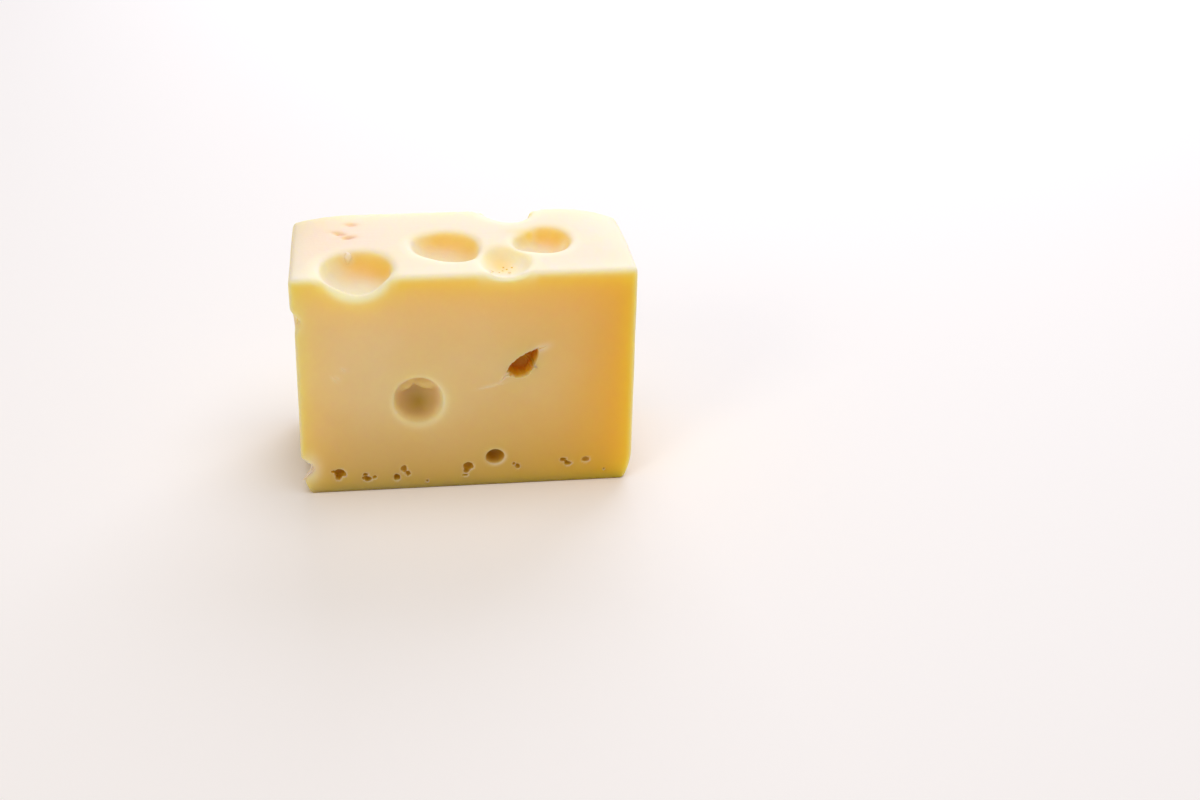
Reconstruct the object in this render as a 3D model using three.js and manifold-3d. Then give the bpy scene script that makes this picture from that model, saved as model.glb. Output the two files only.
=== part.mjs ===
// A block of semi-hard cheese with round eyes, cut from a wheel and standing on its rind side.
// Millimetres. The origin is the middle of the base, +X runs along the long front face,
// +Y goes back from that face and +Z is up.
import * as THREE from 'three';
import { mergeVertices } from 'three/addons/utils/BufferGeometryUtils.js';
import Module from 'manifold-3d';

// The block
const WIDTH = 130;
const DEPTH = 62;
const HEIGHT = 92;
const TOP_EDGE_RADIUS = 2.4;
const FOOT_EDGE_RADIUS = 0.8;
const EDGE_STEPS = 3;
const FLAT_STEPS = { across: 10, back: 6, up: 8 };
const FOOT_CROWDING = 1.7;

// Both ends draw in at the foot, where the rind was pressed round
const FOOT_DRAW_IN = 3;
const FOOT_DRAW_HEIGHT = 13;

// The two far top corners have sunk a little
const SAG_REACH = 24;
const SAG_DEPTH = 34;
const FAR_LEFT_SAG = 3.2;
const FAR_RIGHT_SAG = 5.5;

// Each face of the block: its outward direction, and the direction that runs across it
const FACES = {
  top: { across: [1, 0, 0], outward: [0, 0, 1] },
  front: { across: [1, 0, 0], outward: [0, -1, 0] },
  back: { across: [-1, 0, 0], outward: [0, 1, 0] },
  left: { across: [0, -1, 0], outward: [-1, 0, 0] },
  right: { across: [0, 1, 0], outward: [1, 0, 0] },
};

// The large eyes: rounded bowls that the knife opened. at is [x, y] on the top,
// [x, z] on the front and back and [y, z] on the ends; size is across the face and along it.
// undercut is how far a bowl slides to the left and to the back for each millimetre it goes down.
const LARGE_EYES = [
  { face: 'top', at: [-40, -20.5], size: [28.6, 30.4], depth: 10.5 },
  { face: 'top', at: [-6, -3.2], size: [27, 28.6], depth: 11.5 },
  { face: 'top', at: [16.8, -18.5], size: [17.5, 28], depth: 4.5 },
  { face: 'top', at: [31.6, 0], size: [24.2, 28], depth: 10.5, undercut: [0.25, 0.25] },
  { face: 'top', at: [20.3, 27.6], size: [20.8, 20.8], depth: 9.5 },
  { face: 'front', at: [-19, 38.6], size: [20.4, 20.8], depth: 8.5 },
  { face: 'back', at: [-28, 56], size: [24, 23], depth: 9 },
  { face: 'back', at: [30, 40], size: [17, 16], depth: 7.5 },
  { face: 'left', at: [4, 52], size: [19, 18], depth: 8 },
  { face: 'right', at: [-6, 42], size: [20, 21], depth: 8.5 },
];
const LARGE_EYE_RIM = 1.6;
const LARGE_EYE_SIDES = 28;
const LARGE_EYE_ROWS = 5;
const RIM_ROWS = 3;
const RIM_LIFT = 0.3;
const COLLAR_HEIGHT = 3;

// The small eyes on the front face, each with its x, z and its size across
const FRONT_SMALL_EYES = [
  [10.4, 12.3, 7.2],
  [-50.9, 7.5, 4.0],
  [-40.2, 5.0, 2.6],
  [-28.2, 4.5, 2.2],
  [-25.0, 7.8, 2.6],
  [-0.5, 7.9, 3.8],
  [18.8, 7.3, 2.2],
  [38.4, 8.0, 3.4],
  [46.4, 8.7, 2.6],
];
const SMALL_EYE_STRETCH = 1.05;

// The same kind of row runs round the other three sides, just above the rind
const ROW_FACES = [
  { face: 'back', length: 112, count: 8, phase: 0.4 },
  { face: 'left', length: 46, count: 3, phase: 2.1 },
  { face: 'right', length: 46, count: 4, phase: 4.3 },
];
const ROW_HEIGHT = 7;
const ROW_WANDER = 2.2;
const ROW_EYE_SIZE = 3;
const ROW_EYE_SPREAD = 1.1;
const LONE_SMALL_EYES = [
  { face: 'back', at: [2, 25], size: 7.5 },
  { face: 'right', at: [16, 66], size: 8 },
  { face: 'left', at: [-12, 28], size: 6.5 },
];

// Eyes that the end cut has sliced open along the near left edge
const EDGE_NICKS = [
  { at: [-66.5, -30, 73.6], radii: [3.5, 5, 6] },
  { at: [-66, -30, 11.5], radii: [6, 7, 6.4] },
];
const NICK_SIDES = 14;
const NICK_ROWS = 10;

// A torn slit, drawn round its own middle from the low tip of its crack to the high tip and back
const TEAR_OUTLINE = [
  [-8.9, -7.5], [-6.1, -3.8], [-5.8, -2.4], [-4.7, 0.5], [0.3, 4.5], [5.1, 6.3], [10.3, 7.9],
  [6.2, 5.6], [6.1, 4.5], [3.8, -1.1], [2.3, -4.7], [-0.9, -5.9], [-4.3, -5.7], [-5.4, -4.6],
];
const TEARS = [
  { face: 'front', at: [21.5, 53.5], turn: 0 },
  { face: 'back', at: [0, 72], turn: -50 },
];
const TEAR_DEPTH = 9;
const TEAR_INNER_SCALE = 0.55;
const CUT_CLEARANCE = 1;

const CHEESE = { color: '#efd48e', roughness: 0.48, metalness: 0 };

const wasm = await Module();
wasm.setup();

// Turns a closed three.js geometry into a solid that can be joined and cut
function toSolid(geometry) {
  const bare = geometry.clone();
  bare.deleteAttribute('normal');
  bare.deleteAttribute('uv');
  const merged = mergeVertices(bare, 1e-4);
  return new wasm.Manifold(new wasm.Mesh({
    numProp: 3,
    vertProperties: new Float32Array(merged.attributes.position.array),
    triVerts: new Uint32Array(merged.index.array),
  }));
}

// Turns a solid back into a three.js geometry
function toGeometry(solid) {
  const mesh = solid.getMesh();
  const geometry = new THREE.BufferGeometry();
  geometry.setAttribute('position', new THREE.BufferAttribute(mesh.vertProperties, 3));
  geometry.setIndex(new THREE.BufferAttribute(mesh.triVerts, 1));
  geometry.computeVertexNormals();
  return geometry;
}

// Moves every vertex of a geometry by a function that changes the point it is given
function reshape(geometry, change) {
  const position = geometry.attributes.position;
  const point = new THREE.Vector3();
  for (let i = 0; i < position.count; i += 1) {
    point.fromBufferAttribute(position, i);
    change(point);
    position.setXYZ(i, point.x, point.y, point.z);
  }
  return geometry;
}

// Finds where one grid line of the block lies: in which rounded edge it is (-1 to 1, 0 on the
// flat) and how far along the flat (-1 to 1). place runs from -1 to 1 over equal steps.
function gridPlace(place, flatSteps) {
  const steps = flatSteps + 2 * EDGE_STEPS;
  const step = Math.round((place + 1) / 2 * steps);
  const low = Math.min(step - EDGE_STEPS, 0) / EDGE_STEPS;
  const high = Math.max(step - EDGE_STEPS - flatSteps, 0) / EDGE_STEPS;
  const flat = THREE.MathUtils.clamp((step - EDGE_STEPS) / flatSteps, 0, 1);
  return { edge: low + high, flat: 2 * flat - 1 };
}

// How far an end has drawn in at a height above the foot
function footDraw(z) {
  return FOOT_DRAW_IN * Math.max(0, 1 - z / FOOT_DRAW_HEIGHT) ** 2;
}

// How far a far top corner has sunk at a point
function cornerSag(point) {
  const amount = point.x < 0 ? FAR_LEFT_SAG : FAR_RIGHT_SAG;
  const sideways = Math.max(0, 1 - (WIDTH / 2 - Math.abs(point.x)) / SAG_REACH);
  const backwards = Math.max(0, 1 - (DEPTH / 2 - point.y) / DEPTH);
  const upwards = Math.max(0, 1 - (HEIGHT - point.z) / SAG_DEPTH);
  return amount * sideways ** 2 * backwards ** 2 * upwards;
}

// The plain block: a grid box whose edges are rolled round, drawn in at the foot and sunk at the
// far top corners
function plainBlock() {
  const { across, back, up } = FLAT_STEPS;
  const box = new THREE.BoxGeometry(2, 2, 2,
    across + 2 * EDGE_STEPS, back + 2 * EDGE_STEPS, up + 2 * EDGE_STEPS);
  const roll = new THREE.Vector3();
  const bend = (edge) => Math.tan(edge * Math.PI / 4);
  return reshape(box, (point) => {
    const x = gridPlace(point.x, across);
    const y = gridPlace(point.y, back);
    const z = gridPlace(point.z, up);
    const rise = ((z.flat + 1) / 2) ** FOOT_CROWDING;
    const radius = THREE.MathUtils.lerp(FOOT_EDGE_RADIUS, TOP_EDGE_RADIUS, rise);
    const flatHeight = HEIGHT - FOOT_EDGE_RADIUS - TOP_EDGE_RADIUS;
    roll.set(bend(x.edge), bend(y.edge), bend(z.edge)).setLength(radius);
    point.set(
      x.flat * (WIDTH / 2 - radius),
      y.flat * (DEPTH / 2 - radius),
      FOOT_EDGE_RADIUS + rise * flatHeight,
    ).add(roll);
    point.x *= 1 - footDraw(point.z) / (WIDTH / 2);
    point.z -= cornerSag(point);
  });
}

// The matrix that stands a cutter on a face: its x goes across the face, its y points outwards
function onFace(face, [u, v]) {
  const across = new THREE.Vector3(...FACES[face].across);
  const outward = new THREE.Vector3(...FACES[face].outward);
  const along = across.clone().cross(outward);
  const spots = {
    top: [u, v, HEIGHT],
    front: [u, -DEPTH / 2, v],
    back: [u, DEPTH / 2, v],
    left: [footDraw(v) - WIDTH / 2, u, v],
    right: [WIDTH / 2 - footDraw(v), u, v],
  };
  return new THREE.Matrix4().makeBasis(across, outward, along).setPosition(...spots[face]);
}

// A bowl for a large eye: half an ellipsoid whose rim flares out in a small round
function largeEye({ face, at, size, depth, undercut = [0, 0] }) {
  const mouth = (size[0] + size[1]) / 4;
  const rim = Math.min(LARGE_EYE_RIM, depth / 3);
  const throat = mouth - rim;
  const profile = [];
  for (let row = 0; row < LARGE_EYE_ROWS; row += 1) {
    const angle = row / LARGE_EYE_ROWS * Math.PI / 2;
    profile.push(new THREE.Vector2(throat * Math.sin(angle), -rim - (depth - rim) * Math.cos(angle)));
  }
  for (let row = 0; row <= RIM_ROWS; row += 1) {
    const angle = row / RIM_ROWS * Math.PI / 2;
    profile.push(new THREE.Vector2(mouth - rim * Math.cos(angle), RIM_LIFT - rim + rim * Math.sin(angle)));
  }
  profile.push(new THREE.Vector2(mouth, COLLAR_HEIGHT));
  profile.push(new THREE.Vector2(0, COLLAR_HEIGHT));
  const bowl = new THREE.LatheGeometry(profile, LARGE_EYE_SIDES);
  bowl.scale(size[0] / 2 / mouth, 1, size[1] / 2 / mouth);
  reshape(bowl, (point) => {
    const below = Math.min(point.y, 0);
    point.x += undercut[0] * below;
    point.z += undercut[1] * below;
  });
  return toSolid(bowl.applyMatrix4(onFace(face, at)));
}

// A small eye: a rough ball, a little wider than it is high, half sunk in its face
function smallEye(face, at, size) {
  const ball = new THREE.IcosahedronGeometry(size / 2, 1);
  ball.scale(SMALL_EYE_STRETCH, 1, 1 / SMALL_EYE_STRETCH);
  return toSolid(ball.applyMatrix4(onFace(face, at)));
}

// The row of small eyes along the foot of a face, spaced evenly and wandering up and down
function smallEyeRow({ face, length, count, phase }) {
  const eyes = [];
  for (let i = 0; i < count; i += 1) {
    const u = ((i + 0.5) / count - 0.5) * length + ROW_WANDER * Math.sin(2.4 * i + phase);
    const v = ROW_HEIGHT + ROW_WANDER * Math.cos(3.9 * i + phase);
    const size = ROW_EYE_SIZE + ROW_EYE_SPREAD * Math.sin(1.7 * i + phase);
    eyes.push(smallEye(face, [u, v], size));
  }
  return eyes;
}

// An eye that an end cut has sliced open on an edge
function edgeNick({ at, radii }) {
  const ball = new THREE.SphereGeometry(1, NICK_SIDES, NICK_ROWS);
  ball.rotateX(Math.PI / 2);
  ball.scale(...radii);
  return toSolid(ball.translate(...at));
}

// A torn slit that narrows as it goes in
function tear({ face, at, turn }) {
  const outline = new THREE.Shape(TEAR_OUTLINE.map(([x, y]) => new THREE.Vector2(x, y)));
  const length = TEAR_DEPTH + CUT_CLEARANCE;
  const slit = new THREE.ExtrudeGeometry(outline, { depth: length, bevelEnabled: false });
  reshape(slit, (point) => {
    const scale = point.z < length / 2 ? TEAR_INNER_SCALE : 1;
    point.x *= scale;
    point.y *= scale;
  });
  slit.rotateZ(THREE.MathUtils.degToRad(turn));
  slit.translate(0, 0, -TEAR_DEPTH);
  slit.rotateX(-Math.PI / 2);
  return toSolid(slit.applyMatrix4(onFace(face, at)));
}

// Cuts every eye, nick and tear out of the plain block
function cheeseBlock() {
  const cutters = [
    ...LARGE_EYES.map(largeEye),
    ...FRONT_SMALL_EYES.map(([x, z, size]) => smallEye('front', [x, z], size)),
    ...ROW_FACES.flatMap(smallEyeRow),
    ...LONE_SMALL_EYES.map(({ face, at, size }) => smallEye(face, at, size)),
    ...EDGE_NICKS.map(edgeNick),
    ...TEARS.map(tear),
  ];
  const solid = cutters.reduce((block, cutter) => block.subtract(cutter), toSolid(plainBlock()));
  const block = new THREE.Mesh(toGeometry(solid), new THREE.MeshStandardMaterial(CHEESE));
  block.name = 'cheese_block';
  return block;
}

const cheese = new THREE.Group();
cheese.add(cheeseBlock());

export default cheese;
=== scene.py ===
# %% [markdown]
# # A block of Swiss-type cheese
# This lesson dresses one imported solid, a block of cheese with round eyes, so that it looks freshly cut.
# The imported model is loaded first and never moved: it gives the size that everything below keeps to.

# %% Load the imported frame
import math

import bmesh
import bpy
import numpy
from mathutils import Matrix, Vector, noise


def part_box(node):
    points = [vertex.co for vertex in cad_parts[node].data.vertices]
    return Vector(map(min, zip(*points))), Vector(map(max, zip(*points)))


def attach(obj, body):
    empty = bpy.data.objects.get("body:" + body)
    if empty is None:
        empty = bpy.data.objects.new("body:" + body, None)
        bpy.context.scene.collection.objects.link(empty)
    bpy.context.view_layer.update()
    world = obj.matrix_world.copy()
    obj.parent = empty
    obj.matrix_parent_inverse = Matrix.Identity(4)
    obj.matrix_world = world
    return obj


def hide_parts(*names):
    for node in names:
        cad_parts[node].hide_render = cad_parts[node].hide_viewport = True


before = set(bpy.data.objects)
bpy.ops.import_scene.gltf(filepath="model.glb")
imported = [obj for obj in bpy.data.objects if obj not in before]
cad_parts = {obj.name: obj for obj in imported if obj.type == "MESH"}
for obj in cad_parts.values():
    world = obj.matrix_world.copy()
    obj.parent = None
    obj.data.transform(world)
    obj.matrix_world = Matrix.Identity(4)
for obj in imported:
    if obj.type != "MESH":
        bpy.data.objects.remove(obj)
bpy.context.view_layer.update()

MM = 0.001
low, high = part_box("cheese_block")
WIDTH, DEPTH, HEIGHT = high - low
print("block", [round(side / MM, 1) for side in (WIDTH, DEPTH, HEIGHT)], "mm")

# %% [markdown]
# ## The camera
# The camera stands where the photo was taken: a little left of the block's middle, looking down at about
# 29 degrees with a normal lens. Turning by yaw, then pitch, then roll keeps each of the three readable.

# %% Set the camera
CAMERA_EYE = Vector((-30.4, -595.2, 351.6)) * MM
CAMERA_YAW = math.radians(8.26)
CAMERA_PITCH = math.radians(28.94)
CAMERA_ROLL = math.radians(1.5)
CAMERA_LENS = 50.15
CAMERA_SENSOR = 36.0

camera = bpy.data.objects.new("camera", bpy.data.cameras.new("camera"))
camera.data.lens = CAMERA_LENS
camera.data.sensor_width = CAMERA_SENSOR
camera.matrix_world = (
    Matrix.Translation(CAMERA_EYE)
    @ Matrix.Rotation(-CAMERA_YAW, 4, "Z")
    @ Matrix.Rotation(math.pi / 2 - CAMERA_PITCH, 4, "X")
    @ Matrix.Rotation(CAMERA_ROLL, 4, "Z")
)
bpy.context.scene.collection.objects.link(camera)
bpy.context.scene.camera = camera
print("camera", [round(value / MM) for value in CAMERA_EYE], "mm from the middle of the base")

# %% [markdown]
# ## The plain block
# A cheese wire leaves flat faces, and handling soon rounds their edges. A cube with its top and upright
# edges bevelled says that with one operator. The foot keeps nearly sharp edges, as the rind does.

# %% Make the plain block
TOP_EDGE_RADIUS = 1.8 * MM
SIDE_EDGE_RADIUS = 1.4 * MM
EDGE_SEGMENTS = 4


def round_edges(shape, edges, radius):
    """Bevel some edges of a bmesh to a radius."""
    bmesh.ops.bevel(shape, geom=edges, offset=radius, offset_type="OFFSET", segments=EDGE_SEGMENTS,
                    profile=0.5, affect="EDGES", material=-1)


def new_piece(name, shape):
    """Turn a bmesh into an object of the scene."""
    mesh = bpy.data.meshes.new(name)
    shape.to_mesh(mesh)
    shape.free()
    piece = bpy.data.objects.new(name, mesh)
    bpy.context.scene.collection.objects.link(piece)
    return piece


plain = bmesh.new()
bmesh.ops.create_cube(plain, size=1.0)
bmesh.ops.scale(plain, vec=(WIDTH, DEPTH, HEIGHT), verts=plain.verts)
bmesh.ops.translate(plain, vec=(0, 0, HEIGHT / 2), verts=plain.verts)
uprights = [edge for edge in plain.edges if abs(edge.verts[0].co.z - edge.verts[1].co.z) > HEIGHT / 2]
round_edges(plain, uprights, SIDE_EDGE_RADIUS)
top_edges = [edge for edge in plain.edges if min(vert.co.z for vert in edge.verts) > HEIGHT - MM]
round_edges(plain, top_edges, TOP_EDGE_RADIUS)
cheese = new_piece("cheese", plain)
print("plain block", len(cheese.data.polygons), "faces")

# %% [markdown]
# ## Cutting the large eyes
# Gas in the ripening paste blows up round eyes, and the knife opens them as bowls. Each bowl is cut with
# a ball. A perfect ball looks machined, so every ball is swollen and dented a little by smooth noise. It
# may be slid sideways as it goes down, which leaves a lip. It may also bulge or narrow at one side, where
# it ran into a neighbour or broke through a face. The upper walls of some eyes swell where another bubble
# grew behind them, so small balls are joined to those.

# %% Balls that stand on faces
# Each face has the direction that runs across it and the direction that points out of it
FACES = {
    "top": (Vector((1, 0, 0)), Vector((0, 0, 1))),
    "front": (Vector((1, 0, 0)), Vector((0, -1, 0))),
    "back": (Vector((-1, 0, 0)), Vector((0, 1, 0))),
    "left": (Vector((0, -1, 0)), Vector((-1, 0, 0))),
    "right": (Vector((0, 1, 0)), Vector((1, 0, 0))),
}


def on_face(face, place):
    """Stand a shape at a place in mm on a face: x runs across the face, y up it and z out of it."""
    across, outward = FACES[face]
    u, v = Vector(place) * MM
    spot = {
        "top": (u, v, HEIGHT),
        "front": (u, -DEPTH / 2, v),
        "back": (u, DEPTH / 2, v),
        "left": (-WIDTH / 2, u, v),
        "right": (WIDTH / 2, u, v),
    }[face]
    turn = Matrix((across, outward.cross(across), outward)).transposed().to_4x4()
    return Matrix.Translation(spot) @ turn


def turned(stand, turn):
    """Turn a stand about its outward axis by some degrees."""
    return stand @ Matrix.Rotation(math.radians(turn), 4, "Z")


# How fine the dents are, and how far apart two seeds look up their noise
DENT_SCALE = 1.2
DENT_SHIFTS = (3.7, 1.9)

# How finely the faces of a large and of a small ball are divided
BALL_DETAIL = 4
SMALL_BALL_DETAIL = 3


def dented_ball(radii, dents, seed, detail=BALL_DETAIL, slide=(0, 0), bulges=()):
    """A ball of three radii with smooth dents. A bulge is a direction, a share of growth and a spread."""
    ball = bmesh.new()
    bmesh.ops.create_icosphere(ball, subdivisions=detail, radius=1.0)
    shift = Vector((DENT_SHIFTS[0] * seed, DENT_SHIFTS[1] * seed, 0.0))
    for vert in ball.verts:
        way = vert.co.copy()
        vert.co *= 1 + dents * noise.noise(DENT_SCALE * way + shift)
        for direction, growth, spread in bulges:
            vert.co *= 1 + growth * math.exp(-((way - Vector(direction)).length / spread) ** 2)
    bmesh.ops.scale(ball, vec=radii, verts=ball.verts)
    for vert in ball.verts:
        vert.co.x += slide[0] * min(vert.co.z, 0)
        vert.co.y += slide[1] * min(vert.co.z, 0)
    return ball


def stand_ball(name, stand, radii, dents, seed, **shaping):
    """Make a dented ball an object of the scene, where a stand puts it."""
    ball = dented_ball(radii, dents, seed, **shaping)
    bmesh.ops.transform(ball, matrix=stand, verts=ball.verts)
    return new_piece(name, ball)


print("faces to stand on:", *FACES)

# %% Sizes of the large eyes
# A flare where a bowl breaks the front, and a bowl drawn out to the near right and the far left
FRONT_FLARE = [
    ((-0.76, -0.65, 0.05), 0.26, 0.36),
    ((0.76, -0.65, 0.05), 0.18, 0.36),
]
DRAWN_OUT = [
    ((0.62, -0.78, 0.0), 0.24, 0.55),
    ((-0.88, 0.44, 0.05), 0.16, 0.42),
    ((-0.58, -0.80, 0.0), -0.12, 0.45),
]

# A bowl pinched at the far left, where another ran into it, and one that narrows to the front
PINCHED = [((-0.72, 0.69, 0.0), -0.16, 0.4)]
NARROWING = [
    ((-0.71, -0.70, 0.0), -0.24, 0.5),
    ((0.75, -0.66, 0.0), -0.10, 0.4),
]

# Face, place on it, size across and up it, depth, slide to the left and to the front on the way down, and
# bulges
LARGE_EYES = [
    ("top", (-40.0, -19.4), (28.6, 28.8), 11.6, (0, 0), FRONT_FLARE),
    ("top", (-6.0, -3.2), (27.0, 28.6), 10.5, (0, 0), DRAWN_OUT),
    ("top", (15.8, -19.0), (21.0, 29.0), 4.2, (0, 0), []),
    ("top", (33.0, 0.4), (21.5, 27.4), 9.5, (0, 0), PINCHED),
    ("top", (27.4, -2.4), (16.8, 18.4), 7.0, (0.1, -0.4), []),
    ("top", (20.3, 27.6), (20.8, 20.8), 9.5, (0, 0), NARROWING),
    ("front", (-18.8, 39.2), (21.4, 21.8), 8.5, (0, 0), []),
    ("back", (-28.0, 56.0), (24.0, 23.0), 9.0, (0, 0), []),
    ("back", (30.0, 40.0), (17.0, 16.0), 7.5, (0, 0), []),
    ("left", (4.0, 52.0), (19.0, 18.0), 8.0, (0, 0), []),
    ("right", (-6.0, 42.0), (20.0, 21.0), 8.5, (0, 0), []),
]
LARGE_EYE_DENTS = 0.05
RIM_GROWTH = 1.2

# Swellings in the upper walls of large eyes: number of the eye, place from its middle, depth, size, turn
SWELLINGS = [
    (6, (-4.6, 5.0), 5.4, (6.4, 4.6, 5.0), 48),
    (6, (3.6, 5.0), 5.8, (10.0, 5.2, 4.4), -14),
    (7, (5.0, 6.6), 6.0, (10.0, 5.6, 4.4), -28),
    (10, (5.4, 4.8), 5.6, (6.4, 5.4, 4.4), -40),
]
SWELLING_DENTS = 0.3

# The stand and the reach of each swelling's painted shade, which is a share of the swelling's size
SWELLING_TINT_SHARE = 0.62
swollen = []
print("large eyes", len(LARGE_EYES), "and swellings", len(SWELLINGS))

# %% Sizes of the nick, the torn foot and the scuffs
# A nick in the near left edge: its innermost point, its length, and its reach up and back
EDGE_NICK = ((-61.4, -31.0, 74.4), 5.0, (6.2, 13.0))
NICK_SEGMENTS = 24
NICK_BLUNTNESS = 0.1

# The torn foot of the near left edge: its inner, upper and lower points on the front as x and z, its run
# back and down, and the shares of that run at which it starts, a little before the front, and ends
FOOT_TEAR = [(-59.2, 11.4), (-66.0, 18.0), (-66.0, 6.2)]
FOOT_TEAR_RUN = (-1.8, 30.0, -18.5)
FOOT_TEAR_SHARES = (-0.1, 1.0)

# Soft scuffs on the top: place, length, width, depth and turn
TOP_SCUFFS = [
    ((-46.8, 11.0), 7.0, 2.8, 1.1, -42),
    ((-43.2, 6.8), 6.4, 3.0, 1.1, 6),
    ((-42.2, 19.2), 5.0, 3.0, 1.0, -12),
]
print("scuffs", len(TOP_SCUFFS))


# %% Cutters for the large eyes and the damage
def large_eye(number, face, place, size, depth, slide, bulges):
    """A cutter for one bowl. The rim grows when it is smoothed, so the ball starts a little smaller."""
    radii = Vector((size[0] / 2 - RIM_GROWTH, size[1] / 2 - RIM_GROWTH, depth)) * MM
    stand = on_face(face, place)
    return stand_ball("eye_cutter", stand, radii, LARGE_EYE_DENTS, number, slide=slide, bulges=bulges)


def edge_nick(tip, length, reach):
    """A cutter for the nick in the near left edge: a blunt cone that points to the right."""
    cone = bmesh.new()
    bmesh.ops.create_cone(cone, cap_ends=True, segments=NICK_SEGMENTS, radius1=1.0,
                          radius2=NICK_BLUNTNESS, depth=1.0)
    bmesh.ops.translate(cone, vec=(0, 0, -0.5), verts=cone.verts)
    bmesh.ops.rotate(cone, matrix=Matrix.Rotation(math.pi / 2, 3, "Y"), verts=cone.verts)
    bmesh.ops.scale(cone, vec=Vector((length, reach[1], reach[0])) * MM, verts=cone.verts)
    bmesh.ops.translate(cone, vec=Vector(tip) * MM, verts=cone.verts)
    return new_piece("nick_cutter", cone)


def foot_tear(outline, run):
    """A cutter for the torn foot: the hull of a triangle at the front and of one run back and down."""
    tear = bmesh.new()
    to_front = Vector((0, DEPTH / 2, 0))
    for share in FOOT_TEAR_SHARES:
        for x, z in outline:
            tear.verts.new((Vector((x, 0, z)) + share * Vector(run)) * MM - to_front)
    bmesh.ops.convex_hull(tear, input=tear.verts)
    return new_piece("foot_cutter", tear)


def top_scuff(place, length, width, depth, turn):
    """A cutter for a shallow scuff on the top."""
    radii = Vector((length / 2, width / 2, depth)) * MM
    return stand_ball("scuff_cutter", turned(on_face("top", place), turn), radii, LARGE_EYE_DENTS, turn)


def swelling(eye, place, depth, size, turn):
    """A swelling in the wall of a large eye, which is noted for its painted shade."""
    face, middle, *rest = eye
    sunk = on_face(face, Vector(middle) + Vector(place)) @ Matrix.Translation((0, 0, -depth * MM))
    stand = turned(sunk, turn)
    swollen.append((stand, SWELLING_TINT_SHARE * Vector(size)))
    radii = Vector(size) * MM / 2
    return stand_ball("swelling", stand, radii, SWELLING_DENTS, size[0], detail=SMALL_BALL_DETAIL)


print("cutters for eyes, nick, foot and scuffs are ready")


# %% Carve the large eyes
def settle(piece):
    """Make the result of a piece's modifiers its own mesh."""
    shaped = bpy.data.meshes.new_from_object(piece.evaluated_get(bpy.context.evaluated_depsgraph_get()))
    piece.modifiers.clear()
    old = piece.data
    piece.data = shaped
    bpy.data.meshes.remove(old)


def carve(piece, cutters, operation="DIFFERENCE"):
    """Cut a list of objects out of a piece, or join them to it, and remove them."""
    for cutter in cutters:
        cut = piece.modifiers.new("cut", "BOOLEAN")
        cut.operation = operation
        cut.solver = "MANIFOLD"
        cut.object = cutter
    settle(piece)
    for cutter in cutters:
        mesh = cutter.data
        bpy.data.objects.remove(cutter)
        bpy.data.meshes.remove(mesh)


carve(cheese, [large_eye(number, *eye) for number, eye in enumerate(LARGE_EYES)])
carve(cheese, [edge_nick(*EDGE_NICK), foot_tear(FOOT_TEAR, FOOT_TEAR_RUN)])
carve(cheese, [top_scuff(*scuff) for scuff in TOP_SCUFFS])
carve(cheese, [swelling(LARGE_EYES[number], *rest) for number, *rest in SWELLINGS], "UNION")
print("with large eyes", len(cheese.data.polygons), "faces")

# %% [markdown]
# ## Softening the rims
# Cheese is soft, so no rim stays sharp: every cut edge is rolled over by a millimetre or two. A voxel
# remesh turns the block into even small squares, and smoothing those rounds all rims at once, however they
# run. The bowls on top roll over further, so their points are smoothed some more.

# %% Remesh and smooth
VOXEL = 0.85 * MM
SMOOTH_FACTOR = 0.5
SMOOTH_STEPS = 8
EYE_MARGIN = 1.35
EYE_REACH = 14 * MM
BOWL_SMOOTH_STEPS = 26
bowls = [eye for eye in LARGE_EYES if eye[0] == "top"]
side_eyes = [eye for eye in LARGE_EYES if eye[0] != "top"]

remesh = cheese.modifiers.new("even squares", "REMESH")
remesh.mode = "VOXEL"
remesh.voxel_size = VOXEL
soften = cheese.modifiers.new("soften", "SMOOTH")
soften.factor = SMOOTH_FACTOR
soften.iterations = SMOOTH_STEPS
settle(cheese)


def beside_eyes(shape, eyes):
    """The points of a shape that lie in or beside some large eyes."""
    stands = []
    for face, place, size, *rest in eyes:
        stands.append((on_face(face, place).inverted(), Vector(size) * MM / 2))
    found = []
    for vert in shape.verts:
        for inverse, radii in stands:
            local = inverse @ vert.co
            away = math.hypot(local.x / radii.x, local.y / radii.y)
            if away < EYE_MARGIN and abs(local.z) < EYE_REACH:
                found.append(vert)
                break
    return found


shape = bmesh.new()
shape.from_mesh(cheese.data)
bowl_verts = beside_eyes(shape, bowls)
for step in range(BOWL_SMOOTH_STEPS):
    bmesh.ops.smooth_vert(shape, verts=bowl_verts, factor=SMOOTH_FACTOR,
                          use_axis_x=True, use_axis_y=True, use_axis_z=True)
print("softened", len(bowl_verts), "of", len(shape.verts), "points further")

# %% [markdown]
# ## Drawn-in foot, sunken corners and a hand-cut face
# The rind side was pressed round, so both ends draw in at the foot. The left end steps in below its nick,
# the two far top corners have sunk, and no hand-cut face is quite flat. The mesh is even and dense now, so
# its points are simply moved.

# %% Shape point by point
FOOT_DRAW_IN = 3.0 * MM
FOOT_DRAW_HEIGHT = 13.0 * MM
SAG_REACH = 24.0 * MM
SAG_DEPTH = 34.0 * MM
FAR_LEFT_SAG = 3.2 * MM
FAR_RIGHT_SAG = 5.5 * MM
STEP_IN = 1.3 * MM
STEP_TOP = 76.0 * MM
STEP_SLOPE = 6.0 * MM
STEP_RUN = 62.0 * MM
STEP_FALL = 6
WAVE_LENGTH = 22.0 * MM
WAVE_HEIGHT = 0.25 * MM


def foot_draw(z):
    """How far an end has drawn in at a height."""
    return FOOT_DRAW_IN * max(0.0, 1 - z / FOOT_DRAW_HEIGHT) ** 2


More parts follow.
